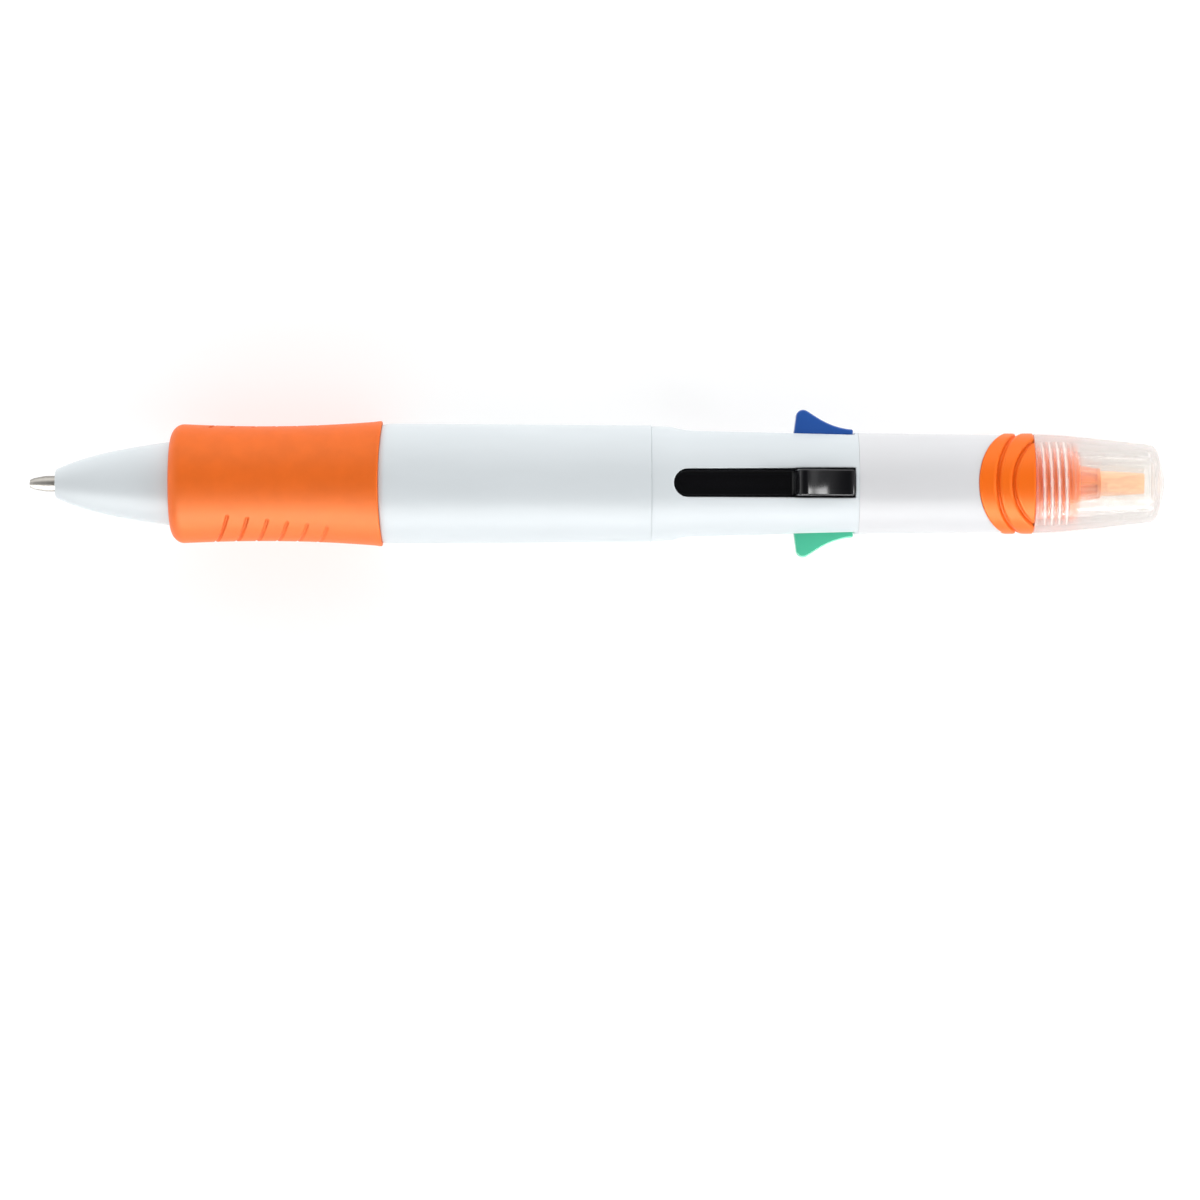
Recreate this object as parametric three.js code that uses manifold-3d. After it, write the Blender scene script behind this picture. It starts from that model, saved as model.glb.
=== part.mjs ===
// A four-colour click pen with a highlighter in its tail, as an assembly of separate pieces.
// Units are millimetres. The pen lies along X: the writing point is at -X and the highlighter cap at +X.
// A station is a distance from the tip of the writing point, and the origin is on the pen's axis, half way
// along it. Black's slider faces +Z, blue's +Y, green's -Y and red's -Z. Red is pushed forward and latched,
// so its point is out, and the other three are back.

import * as THREE from 'three';
import { mergeVertices } from 'three/addons/utils/BufferGeometryUtils.js';
import Module from 'manifold-3d';

const wasm = await Module();
wasm.setup();

// Overall length, and the parting lines of the outer pieces.
const LENGTH = 155;
const NOSE_FACE = 3.6;
const GRIP_FRONT = 19.25;
const GRIP_REAR = 48.3;
const FRONT_SEAM = 85;
const REAR_SEAM = 113.2;
const COLLAR_EDGE = 133;
const COLLAR_END = 137.05;
const CAP_MOUTH = 137.15;
const GAP = 0.05;

// Front barrel.
const NOSE_HOLE = 1.38;
const NOSE_RADIUS = 2.19;
const NOSE_BACK_RADIUS = 5.7;
const SEAT_FRONT_RADIUS = 5.55;
const SEAT_RADIUS = 6.2;
const SEAT_FULL_FROM = 26;
const BARREL_RADIUS = 8.2;
const FRONT_SEAM_RADIUS = 7.94;
const GUIDE_STATION = 56;
const GUIDE_THICKNESS = 2;
const GUIDE_HOLE_RADIUS = 1.32;
const FRONT_BORE = 6.3;
const SPIGOT_FRONT = 79.6;
const SPIGOT_RADIUS = 6.65;

// Slotted barrel, its slots and the slider core.
const SLOTTED_BORE = 6.15;
const SLOTTED_REAR_RADIUS = 6.97;
const SLOT_FRONT = 88;
const SLOT_REAR = 112.65;
const SLOT_FRONT_HALF_WIDTH = 1.95;
const SLOT_REAR_HALF_WIDTH = 2.07;
const CORE_FRONT = 86;
const CORE_RADIUS = 6.05;
const CORE_ARM = 1;
const CORE_HUB_RADIUS = 2.4;
const CORE_SPIGOT_RADIUS = 4;
const CORE_SPIGOT_END = 117;

// Sliders, with their places when they are back.
const TRAVEL = 14;
const SLIDER_RADIUS = 3.9;
const STEM_FRONT = 84;
const STEM_REAR = 112.5;
const STEM_HALF_WIDTH = 1.85;
const STEM_INNER = 3;
const STEM_OUTER = 6.05;
const BUTTON_WIDTH = 3.65;
const BUTTON_FRONT = 104.4;
const CREST_STATION = 105.7;
const CREST_CENTRE = 9.1;
const CREST_RADIUS = 0.95;
const BUTTON_HEEL = 7.35;
const SPRING_SEAT_FRONT = 82.3;
const SPRING_SEAT_RADIUS = 1.7;
const BARB_FRONT = 78.5;
const BARB_RADIUS = 0.75;

// Refills, measured from the tip of their own point, and their springs.
const POINT_SIDE_OFFSET = 2.3;
const POINT_RADIUS = 1.07;
const POINT_SHOULDER = 6.5;
const TUBE_FRONT = 9;
const TUBE_END = TUBE_FRONT + 59.2;
const TUBE_RADIUS = 1.15;
const TUBE_BORE = 0.9;
const POINT_TAIL = 11;
const BEND_END = 41;
const BALL_RADIUS = 0.5;
const SPRING_WIRE = 0.19;
const SPRING_COIL_RADIUS = 1.48;
const SPRING_TURNS = 8;

// Tail: housing, collar with its threaded neck, highlighter and cap.
const HOUSING_FRONT_RADIUS = 6.95;
const HOUSING_REAR_RADIUS = 6.67;
const HOUSING_BORE = 5.6;
const HOUSING_BORE_FRONT = 118.8;
const COLLAR_SPIGOT_FRONT = 124;
const COLLAR_EDGE_WAVE = 3.6;
const GROOVES = [{ station: 135, swing: 3.05 }, { station: 139.05, swing: 4.95 }];
const GROOVE_HALF_WIDTH = 0.3;
const GROOVE_DEPTH = 0.36;
const RIDGE_RADIUS = 6.86;
const WAVE_SOFTNESS = 0.25;
const NECK_END = 143.1;
const NECK_ROOT = 5.15;
const CAP_THREAD_ROOT = 6.05;
const THREAD_HEIGHT = 0.4;
const THREAD_PITCH = 1;
const THREAD_START = 137.4;
const THREAD_TURNS = 5;
const THREAD_ROWS = 3;
const RESERVOIR_RADIUS = 4.6;
const RESERVOIR_END = 135.7;
const HOLDER_FRONT = 136.2;
const HOLDER_END = 146.3;
const HOLDER_RADIUS = 2.7;
const NIB_REAR = 133.9;
const NIB_TAPER_FROM = 148;
const NIB_TIP = 152.4;
const NIB_RADIUS = 1.7;
const NIB_SHANK_RADIUS = 1.2;

// Facets round a turned shell, a threaded shell, a thin tube and a spring wire.
const SHELL_SIDES = 32;
const THREAD_SIDES = 32;
const TUBE_SIDES = 8;
const POINT_SIDES = 10;
const WIRE_SIDES = 4;

const QUARTER_TURN = Math.PI / 2;
const COLOURS = [
  { name: 'black', turn: 0, hex: 0x17181a, forward: 0 },
  { name: 'blue', turn: -QUARTER_TURN, hex: 0x1e4baa, forward: 0 },
  { name: 'green', turn: QUARTER_TURN, hex: 0x3cbe82, forward: 0 },
  { name: 'red', turn: Math.PI, hex: 0xe12832, forward: TRAVEL },
];

// Closed meshes ---------------------------------------------------------------------------------------------

// The geometry with shared vertices merged, slivers dropped and its faces pointing out.
function closed(geometry) {
  const bare = geometry.clone();
  bare.deleteAttribute('normal');
  bare.deleteAttribute('uv');
  const merged = mergeVertices(bare, 1e-4);
  const place = merged.attributes.position;
  const corners = [new THREE.Vector3(), new THREE.Vector3(), new THREE.Vector3()];
  const kept = [];
  let volume = 0;
  for (let i = 0; i < merged.index.count; i += 3) {
    const [a, b, c] = [0, 1, 2].map((k) => merged.index.getX(i + k));
    if (a === b || b === c || c === a) continue;
    kept.push(a, b, c);
    [a, b, c].forEach((index, k) => corners[k].fromBufferAttribute(place, index));
    volume += corners[0].dot(corners[1].clone().cross(corners[2]));
  }
  merged.setIndex(volume < 0 ? kept.reverse() : kept);
  return merged;
}

function solid(geometry) {
  const mesh = closed(geometry);
  return new wasm.Manifold(new wasm.Mesh({
    numProp: 3,
    vertProperties: new Float32Array(mesh.attributes.position.array),
    triVerts: Uint32Array.from(mesh.index.array),
  }));
}

function fromSolid(manifold) {
  const { vertProperties, triVerts, numProp } = manifold.getMesh();
  const places = [];
  for (let i = 0; i < vertProperties.length; i += numProp) {
    places.push(vertProperties[i], vertProperties[i + 1], vertProperties[i + 2]);
  }
  const geometry = new THREE.BufferGeometry();
  geometry.setAttribute('position', new THREE.Float32BufferAttribute(places, 3));
  geometry.setIndex(Array.from(triVerts));
  return geometry;
}

function joined(geometries) {
  return geometries.map(solid).reduce((whole, next) => whole.add(next));
}

// A body turned about the pen's axis. A row is [station, radius], or a function that gives them for an angle,
// which is measured from +Z towards -Y. The rows start and end on the axis, or come back to the first.
function turned(rows, sides = SHELL_SIDES) {
  const rowAt = rows.map((row) => (typeof row === 'function' ? row : () => row));
  const outline = rowAt.map((row) => new THREE.Vector2(row(0)[1], row(0)[0]));
  const geometry = new THREE.LatheGeometry(outline, sides);
  const place = geometry.attributes.position;
  for (let side = 0; side <= sides; side += 1) {
    const angle = (side % sides) * 2 * Math.PI / sides;
    rowAt.forEach((row, index) => {
      const [station, radius] = row(angle);
      const vertex = side * rowAt.length + index;
      place.setXYZ(vertex, station - LENGTH / 2, -radius * Math.sin(angle), radius * Math.cos(angle));
    });
  }
  return closed(geometry);
}

function ring(rows, sides) {
  return turned([...rows, rows[0]], sides);
}

// A shape drawn across the pen, with Y to its right and Z up, extruded between two stations.
function extrudedAlong(shape, from, to) {
  const geometry = new THREE.ExtrudeGeometry(shape, { depth: to - from, bevelEnabled: false, curveSegments: 6 });
  const across = new THREE.Vector3(0, 1, 0);
  const up = new THREE.Vector3(0, 0, 1);
  const along = new THREE.Vector3(1, 0, 0);
  geometry.applyMatrix4(new THREE.Matrix4().makeBasis(across, up, along));
  return geometry.translate(from - LENGTH / 2, 0, 0);
}

// Evenly spaced values, both ends included.
function evenly(from, to, count) {
  return Array.from({ length: count + 1 }, (_, i) => from + (to - from) * i / count);
}

// A wave round the pen: 1 on top and underneath, 0 at the two sides, with a softened turn at the sides.
function wave(angle) {
  const peak = Math.sqrt(1 + WAVE_SOFTNESS ** 2) - WAVE_SOFTNESS;
  return (Math.sqrt(Math.cos(angle) ** 2 + WAVE_SOFTNESS ** 2) - WAVE_SOFTNESS) / peak;
}

function gripEdge(angle) {
  return GRIP_REAR - 0.4 * Math.cos(angle) ** 2;
}

function collarEdge(angle) {
  return COLLAR_EDGE - COLLAR_EDGE_WAVE * wave(angle);
}

// Front end ---------------------------------------------------------------------------------------------------

// The long front shell: a blunt curved nose, a seat for the grip, a faint taper to the rear seam, and a bore that
// steps up behind the guide.
function frontBarrel() {
  const nose = new THREE.CubicBezierCurve(
    new THREE.Vector2(NOSE_FACE + 0.6, NOSE_RADIUS),
    new THREE.Vector2(7.6, 3.75),
    new THREE.Vector2(12.5, 4.85),
    new THREE.Vector2(GRIP_FRONT, NOSE_BACK_RADIUS),
  ).getPoints(6).map((point) => [point.x, point.y]);
  return ring([
    [NOSE_FACE, NOSE_HOLE],
    [NOSE_FACE, 1.73],
    [NOSE_FACE + 0.2, 2.0],
    ...nose,
    [GRIP_FRONT, SEAT_FRONT_RADIUS],
    [SEAT_FULL_FROM, SEAT_RADIUS],
    (angle) => [gripEdge(angle) + GAP, SEAT_RADIUS],
    (angle) => [gripEdge(angle) + GAP, BARREL_RADIUS - 0.15],
    (angle) => [gripEdge(angle) + 0.7, BARREL_RADIUS],
    [FRONT_SEAM, FRONT_SEAM_RADIUS],
    [FRONT_SEAM, SPIGOT_RADIUS + 0.1],
    [SPIGOT_FRONT - 0.2, SPIGOT_RADIUS + 0.1],
    [SPIGOT_FRONT - 0.2, FRONT_BORE],
    [GUIDE_STATION, FRONT_BORE],
    [GUIDE_STATION, 5.4],
    [24, 5.2],
    [20, 4.5],
    [NOSE_FACE + 0.4, NOSE_HOLE],
  ]);
}

// The soft sleeve: a round front shoulder, a long shallow waist and a lip that flares over the barrel.
function gripSleeve() {
  const waist = new THREE.CubicBezierCurve(
    new THREE.Vector2(21, 8.11),
    new THREE.Vector2(28, 7.75),
    new THREE.Vector2(36, 7.6),
    new THREE.Vector2(47.2, 8.46),
  ).getPoints(8).map((point) => [point.x, point.y]);
  return ring([
    [GRIP_FRONT + GAP, SEAT_FRONT_RADIUS + GAP],
    [GRIP_FRONT + GAP, 5.75],
    [19.75, 7.17],
    [20.3, 7.81],
    ...waist,
    (angle) => [gripEdge(angle) - 0.2, 8.52],
    (angle) => [gripEdge(angle), 8.4],
    (angle) => [gripEdge(angle), SEAT_RADIUS + GAP],
    [SEAT_FULL_FROM, SEAT_RADIUS + GAP],
  ]);
}

// A disc inside the front barrel. The springs push against it and the refills slide through it.
function refillGuide() {
  const front = GUIDE_STATION + GAP;
  const rear = front + GUIDE_THICKNESS;
  const disc = solid(turned([[front, 0], [front, FRONT_BORE - 0.1], [rear, FRONT_BORE - 0.1], [rear, 0]]));
  const holes = COLOURS.map(({ turn }) => {
    const drill = turned([
      [front - 1, 0],
      [front - 1, GUIDE_HOLE_RADIUS],
      [rear + 1, GUIDE_HOLE_RADIUS],
      [rear + 1, 0],
    ], TUBE_SIDES * 2);
    return solid(drill.translate(0, 0, SLIDER_RADIUS).rotateX(turn));
  });
  return fromSolid(holes.reduce((left, hole) => left.subtract(hole), disc));
}

// Slotted barrel and core -------------------------------------------------------------------------------------

// The cutter of one slot: a round front end and a square rear end.
function slot() {
  const shape = new THREE.Shape();
  const centre = SLOT_FRONT + SLOT_FRONT_HALF_WIDTH - LENGTH / 2;
  const rear = SLOT_REAR - LENGTH / 2;
  shape.moveTo(rear, -SLOT_REAR_HALF_WIDTH);
  shape.lineTo(rear, SLOT_REAR_HALF_WIDTH);
  shape.absarc(centre, 0, SLOT_FRONT_HALF_WIDTH, QUARTER_TURN, 3 * QUARTER_TURN, false);
  shape.closePath();
  const depth = BARREL_RADIUS - CORE_SPIGOT_RADIUS;
  const cutter = new THREE.ExtrudeGeometry(shape, { depth, bevelEnabled: false, curveSegments: 8 });
  return cutter.translate(0, 0, CORE_SPIGOT_RADIUS);
}

// A shell that steps down in front of its four slots and tapers behind them, with a spigot in the front barrel.
function slottedBarrel() {
  const shell = solid(ring([
    [SPIGOT_FRONT, SLOTTED_BORE],
    [SPIGOT_FRONT, SPIGOT_RADIUS],
    [FRONT_SEAM + GAP, SPIGOT_RADIUS],
    [FRONT_SEAM + GAP, 7.7],
    [FRONT_SEAM + 0.2, 7.83],
    [87.6, 7.79],
    [89, 7.6],
    [90.3, 7.49],
    [91.7, 7.46],
    [REAR_SEAM - GAP, SLOTTED_REAR_RADIUS],
    [REAR_SEAM - GAP, SLOTTED_BORE],
  ]));
  return fromSolid(COLOURS.reduce((left, { turn }) => left.subtract(solid(slot().rotateX(turn))), shell));
}

// Four arms between the sliders, on a hub, with a spigot that plugs into the highlighter housing.
function sliderCore() {
  const length = REAR_SEAM - 0.1 - CORE_FRONT;
  const middle = CORE_FRONT + length / 2 - LENGTH / 2;
  const arms = [QUARTER_TURN / 2, -QUARTER_TURN / 2].map((turn) => {
    const blade = new THREE.BoxGeometry(length, CORE_ARM, 2 * CORE_RADIUS);
    return blade.rotateX(turn).translate(middle, 0, 0);
  });
  const hubEnd = REAR_SEAM - 0.15;
  const hub = turned([
    [CORE_FRONT, 0],
    [CORE_FRONT, CORE_HUB_RADIUS],
    [hubEnd, CORE_HUB_RADIUS],
    [hubEnd, CORE_SPIGOT_RADIUS],
    [CORE_SPIGOT_END, CORE_SPIGOT_RADIUS],
    [CORE_SPIGOT_END, 0],
  ], 24);
  return fromSolid(joined([...arms, hub]));
}

// A slider when it is back: stem, shark-fin button, spring seat and the barb that the refill plugs on to.
function slider() {
  const corner = Math.sqrt(STEM_OUTER ** 2 - STEM_HALF_WIDTH ** 2);
  const lean = Math.asin(STEM_HALF_WIDTH / STEM_OUTER);
  const section = new THREE.Shape();
  section.moveTo(-STEM_HALF_WIDTH, STEM_INNER);
  section.lineTo(STEM_HALF_WIDTH, STEM_INNER);
  section.lineTo(STEM_HALF_WIDTH, corner);
  section.absarc(0, 0, STEM_OUTER, QUARTER_TURN - lean, QUARTER_TURN + lean, false);
  section.closePath();
  const stem = extrudedAlong(section, STEM_FRONT, STEM_REAR);

  const fin = new THREE.Shape();
  const heel = STEM_REAR - 0.1;
  const frontLean = 0.9 * Math.PI;
  const rearLean = Math.PI / 3;
  fin.moveTo(BUTTON_FRONT, STEM_OUTER - 1);
  fin.lineTo(BUTTON_FRONT, 7);
  fin.absarc(CREST_STATION, CREST_CENTRE, CREST_RADIUS, frontLean, rearLean, true);
  fin.bezierCurveTo(CREST_STATION + 1.6, CREST_CENTRE + 0.17, CREST_STATION + 3.5, 7.6, heel, BUTTON_HEEL);
  fin.lineTo(heel, STEM_OUTER - 1);
  fin.closePath();
  const button = new THREE.ExtrudeGeometry(fin, { depth: BUTTON_WIDTH, bevelEnabled: false, curveSegments: 7 });
  button.translate(-LENGTH / 2, 0, -BUTTON_WIDTH / 2).rotateX(QUARTER_TURN);

  const stub = turned([
    [BARB_FRONT, 0],
    [BARB_FRONT, BARB_RADIUS],
    [SPRING_SEAT_FRONT, BARB_RADIUS],
    [SPRING_SEAT_FRONT, SPRING_SEAT_RADIUS],
    [STEM_FRONT + 1, SPRING_SEAT_RADIUS],
    [STEM_FRONT + 1, 0],
  ], POINT_SIDES).translate(0, 0, SLIDER_RADIUS);
  return fromSolid(joined([stem, button, stub]));
}

// Refills -----------------------------------------------------------------------------------------------------

// The metal point, with an open socket for its ball and a feed hole, and a barb inside the ink tube.
function point(tip) {
  return ring([
    [0.14, 0.38],
    [0.14, 0.53],
    [0.68, 0.76],
    [1.2, 0.88],
    [2.3, POINT_RADIUS],
    [POINT_SHOULDER, POINT_RADIUS],
    [POINT_SHOULDER, TUBE_RADIUS],
    [TUBE_FRONT - GAP, TUBE_RADIUS],
    [TUBE_FRONT - GAP, BARB_RADIUS],
    [POINT_TAIL, BARB_RADIUS],
    [POINT_TAIL, 0.3],
    [1.05, 0.3],
    [0.8, 0.47],
    [0.5, 0.53],
  ].map(([station, radius]) => [tip + station, radius]), POINT_SIDES);
}

function ball(tip) {
  const sphere = new THREE.SphereGeometry(BALL_RADIUS, POINT_SIDES, POINT_SIDES / 2);
  return sphere.rotateZ(-QUARTER_TURN).translate(tip + BALL_RADIUS - LENGTH / 2, 0, 0);
}

// The ink tube's centre line: off the axis by the point's offset in front and the slider's behind, with a smooth
// bend between them, because the point leans in to the middle of the nose as it comes out.
class TubeLine extends THREE.Curve {
  constructor(tip, pointOffset) {
    super();
    this.tip = tip;
    this.pointOffset = pointOffset;
  }

  getPoint(t, target = new THREE.Vector3()) {
    const station = TUBE_FRONT + (TUBE_END - TUBE_FRONT) * t;
    const bend = THREE.MathUtils.smoothstep(station, POINT_TAIL, BEND_END);
    const radius = THREE.MathUtils.lerp(this.pointOffset, SLIDER_RADIUS, bend);
    return target.set(this.tip + station - LENGTH / 2, 0, radius);
  }
}

function circle(radius, sides) {
  const corners = evenly(0, 2 * Math.PI, sides).slice(0, sides);
  return corners.map((angle) => new THREE.Vector2(radius * Math.cos(angle), radius * Math.sin(angle)));
}

function refillTube(tip, pointOffset) {
  const section = new THREE.Shape(circle(TUBE_RADIUS, TUBE_SIDES));
  section.holes.push(new THREE.Path(circle(TUBE_BORE, TUBE_SIDES)));
  const extrudePath = new TubeLine(tip, pointOffset);
  return new THREE.ExtrudeGeometry(section, { steps: 12, extrudePath, bevelEnabled: false });
}

class SpringLine extends THREE.Curve {
  constructor(from, to) {
    super();
    this.from = from;
    this.to = to;
  }

  getPoint(t, target = new THREE.Vector3()) {
    const angle = 2 * Math.PI * SPRING_TURNS * t;
    const across = SPRING_COIL_RADIUS * Math.sin(angle);
    const radius = SLIDER_RADIUS + SPRING_COIL_RADIUS * Math.cos(angle);
    return target.set(THREE.MathUtils.lerp(this.from, this.to, t) - LENGTH / 2, across, radius);
  }
}

function refillSpring(forward) {
  const from = GUIDE_STATION + GUIDE_THICKNESS + SPRING_WIRE + 0.1;
  const to = SPRING_SEAT_FRONT - forward - SPRING_WIRE - 0.05;
  const section = new THREE.Shape(circle(SPRING_WIRE, WIRE_SIDES));
  const steps = SPRING_TURNS * 7;
  return new THREE.ExtrudeGeometry(section, { steps, extrudePath: new SpringLine(from, to), bevelEnabled: false });
}

// Tail --------------------------------------------------------------------------------------------------------

// The white tail shell, closed in front, with a scalloped rear edge.
function highlighterHousing() {
  return turned([
    [CORE_SPIGOT_END + 0.3, 0],
    [CORE_SPIGOT_END + 0.3, CORE_SPIGOT_RADIUS + 0.1],
    [REAR_SEAM, CORE_SPIGOT_RADIUS + 0.1],
    [REAR_SEAM, HOUSING_FRONT_RADIUS - 0.1],
    [REAR_SEAM + 0.15, HOUSING_FRONT_RADIUS],
    [115, 6.88],
    (angle) => [collarEdge(angle), HOUSING_REAR_RADIUS],
    (angle) => [collarEdge(angle), HOUSING_BORE],
    [HOUSING_BORE_FRONT, HOUSING_BORE],
    [HOUSING_BORE_FRONT, 0],
  ]);
}

// The height of a right-handed thread's ridge, from 0 to 1, faded out over the first and last half turn.
function ridge(station, angle) {
  const turns = (station - THREAD_START) / THREAD_PITCH;
  const phase = turns - angle / (2 * Math.PI);
  const fade = THREE.MathUtils.clamp(2 * Math.min(turns, THREAD_TURNS - turns), 0, 1);
  return fade * Math.abs(2 * (phase - Math.floor(phase)) - 1);
}

function threadRows(root, height) {
  const rows = evenly(THREAD_START, THREAD_START + THREAD_TURNS * THREAD_PITCH, THREAD_TURNS * THREAD_ROWS);
  return rows.map((station) => (angle) => [station, root + height * ridge(station, angle)]);
}

// A groove that follows the scalloped edge, and runs out where it meets the rear end of the collar.
function grooveRows({ station, swing }) {
  const offsets = [[-1, 0], [-0.4, 1], [0.4, 1], [1, 0]];
  return offsets.map(([share, depth], index) => (angle) => {
    const centre = station - swing * wave(angle);
    const open = THREE.MathUtils.clamp((COLLAR_END - centre) / GROOVE_HALF_WIDTH, 0, 1);
    const limit = COLLAR_END - 0.02 * (offsets.length - index);
    return [Math.min(centre + share * GROOVE_HALF_WIDTH, limit), RIDGE_RADIUS - open * depth * GROOVE_DEPTH];
  });
}

// The orange collar: a spigot in the housing, a grooved band outside, and a threaded neck under the cap.
function highlighterCollar() {
  return ring([
    [COLLAR_SPIGOT_FRONT, RESERVOIR_RADIUS + 0.1],
    [COLLAR_SPIGOT_FRONT, HOUSING_BORE - GAP],
    (angle) => [collarEdge(angle) + GAP, HOUSING_BORE - GAP],
    (angle) => [collarEdge(angle) + GAP, HOUSING_REAR_RADIUS],
    (angle) => [collarEdge(angle) + 0.5, RIDGE_RADIUS],
    ...GROOVES.flatMap(grooveRows),
    [COLLAR_END, 6.8],
    [COLLAR_END, NECK_ROOT],
    ...threadRows(NECK_ROOT, THREAD_HEIGHT),
    [NECK_END - 0.3, NECK_ROOT],
    [NECK_END, NECK_ROOT - 0.3],
    [NECK_END, HOLDER_RADIUS + GAP],
    [HOLDER_FRONT - 0.1, HOLDER_RADIUS + GAP],
    [HOLDER_FRONT - 0.1, RESERVOIR_RADIUS + 0.1],
  ], THREAD_SIDES);
}

function nibHolder() {
  return ring([
    [HOLDER_FRONT, NIB_RADIUS + 0.06],
    [HOLDER_FRONT, HOLDER_RADIUS],
    [NECK_END + 0.2, HOLDER_RADIUS],
    [HOLDER_END - 0.4, 2.3],
    [HOLDER_END, 2.1],
    [HOLDER_END, NIB_RADIUS + 0.06],
  ], 24);
}

// A felt nib with a thin shank in the reservoir and a chisel tip whose edge runs across the pen, along Z.
function highlighterNib() {
  const rod = solid(turned([
    [NIB_REAR, 0],
    [NIB_REAR, NIB_SHANK_RADIUS],
    [RESERVOIR_END + 0.3, NIB_SHANK_RADIUS],
    [RESERVOIR_END + 0.6, NIB_RADIUS],
    [NIB_TAPER_FROM, NIB_RADIUS],
    [NIB_TIP - 0.4, 1.45],
    [NIB_TIP, 1.2],
    [NIB_TIP, 0],
  ], 20));
  const bevel = new THREE.Shape();
  bevel.moveTo(NIB_TAPER_FROM - LENGTH / 2, 3);
  bevel.lineTo(NIB_TAPER_FROM - LENGTH / 2, NIB_RADIUS);
  bevel.lineTo(NIB_TIP + 1 - LENGTH / 2, 0.3);
  bevel.lineTo(NIB_TIP + 1 - LENGTH / 2, 3);
  bevel.closePath();
  const wedge = new THREE.ExtrudeGeometry(bevel, { depth: 6, bevelEnabled: false }).translate(0, 0, -3);
  return fromSolid(rod.subtract(solid(wedge)));
}

function inkReservoir() {
  return turned([
    [HOUSING_BORE_FRONT + 0.2, 0],
    [HOUSING_BORE_FRONT + 0.2, RESERVOIR_RADIUS],
    [RESERVOIR_END, RESERVOIR_RADIUS],
    [RESERVOIR_END, NIB_SHANK_RADIUS + 0.1],
    [NIB_REAR - 0.2, NIB_SHANK_RADIUS + 0.1],
    [NIB_REAR - 0.2, 0],
  ], 24);
}

// The clear cap: a thread inside its mouth, and an inner sleeve that closes round the nib holder.
function highlighterCap() {
  const sleeveFront = NECK_END + 0.3;
  return turned([
    [153.7, 0],
    [153.7, 3.6],
    [sleeveFront, 3.6],
    [sleeveFront, 4.4],
    [152.7, 4.5],
    [152.7, 4.7],
    [THREAD_START + THREAD_TURNS * THREAD_PITCH + 0.4, 5.8],
    ...threadRows(CAP_THREAD_ROOT, -THREAD_HEIGHT).reverse(),
    [CAP_MOUTH, CAP_THREAD_ROOT + 0.1],
    [CAP_MOUTH, 6.66],
    [CAP_MOUTH + 0.15, 6.78],
    [141, 6.6],
    [146.4, 6.1],
    [151.9, 5.48],
    [152.9, 5.32],
    [153.6, 5.05],
    [154.05, 4.5],
    [154.4, 3.28],
    [154.75, 2.3],
    [LENGTH, 1.3],
    [LENGTH, 0],
  ], THREAD_SIDES);
}

// Assembly ----------------------------------------------------------------------------------------------------

const pen = new THREE.Group();

function add(parent, name, geometry, color, roughness = 0.35, metalness = 0) {
  const mesh = new THREE.Mesh(closed(geometry), new THREE.MeshStandardMaterial({ color, roughness, metalness }));
  mesh.name = name;
  parent.add(mesh);
}

const WHITE = 0xe6eaee;
const ORANGE = 0xe86225;
const STEEL = 0xb9b6ae;

add(pen, 'front_barrel', frontBarrel(), WHITE, 0.25);
add(pen, 'grip_sleeve', gripSleeve(), ORANGE, 0.7);
add(pen, 'refill_guide', refillGuide(), WHITE, 0.6);
add(pen, 'slotted_barrel', slottedBarrel(), WHITE, 0.25);
add(pen, 'slider_core', sliderCore(), WHITE, 0.6);
add(pen, 'highlighter_housing', highlighterHousing(), WHITE, 0.3);
add(pen, 'highlighter_collar', highlighterCollar(), 0xf7731e, 0.3);
add(pen, 'nib_holder', nibHolder(), 0xf59a5a, 0.3);
add(pen, 'highlighter_nib', highlighterNib(), 0xf7a070, 0.9);
add(pen, 'ink_reservoir', inkReservoir(), 0xf0c8a8, 0.9);
add(pen, 'highlighter_cap', highlighterCap(), 0xe8e4e0, 0.2);

for (const { name, turn, hex, forward } of COLOURS) {
  const quarter = new THREE.Group();
  quarter.rotation.x = turn;
  const tip = TRAVEL - forward;
  const pointOffset = POINT_SIDE_OFFSET * tip / TRAVEL;
  add(quarter, `slider_${name}`, slider().translate(-forward, 0, 0), hex, 0.2);
  add(quarter, `refill_tube_${name}`, refillTube(tip, pointOffset), WHITE, 0.5);
  add(quarter, `refill_spring_${name}`, refillSpring(forward), STEEL, 0.3, 1);
  add(quarter, `point_${name}`, point(tip).translate(0, 0, pointOffset), STEEL, 0.25, 1);
  add(quarter, `ball_${name}`, ball(tip).translate(0, 0, pointOffset), STEEL, 0.1, 1);
  pen.add(quarter);
}

export default pen;
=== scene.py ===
# Looks for the four-colour click pen with a highlighter in its tail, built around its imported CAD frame.
# Shapes are worked out in millimetres. A station is a distance along the pen from the writing tip, a radius
# is a distance from the pen's axis, and an angle is measured round that axis from +Z towards -Y.
import math

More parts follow.
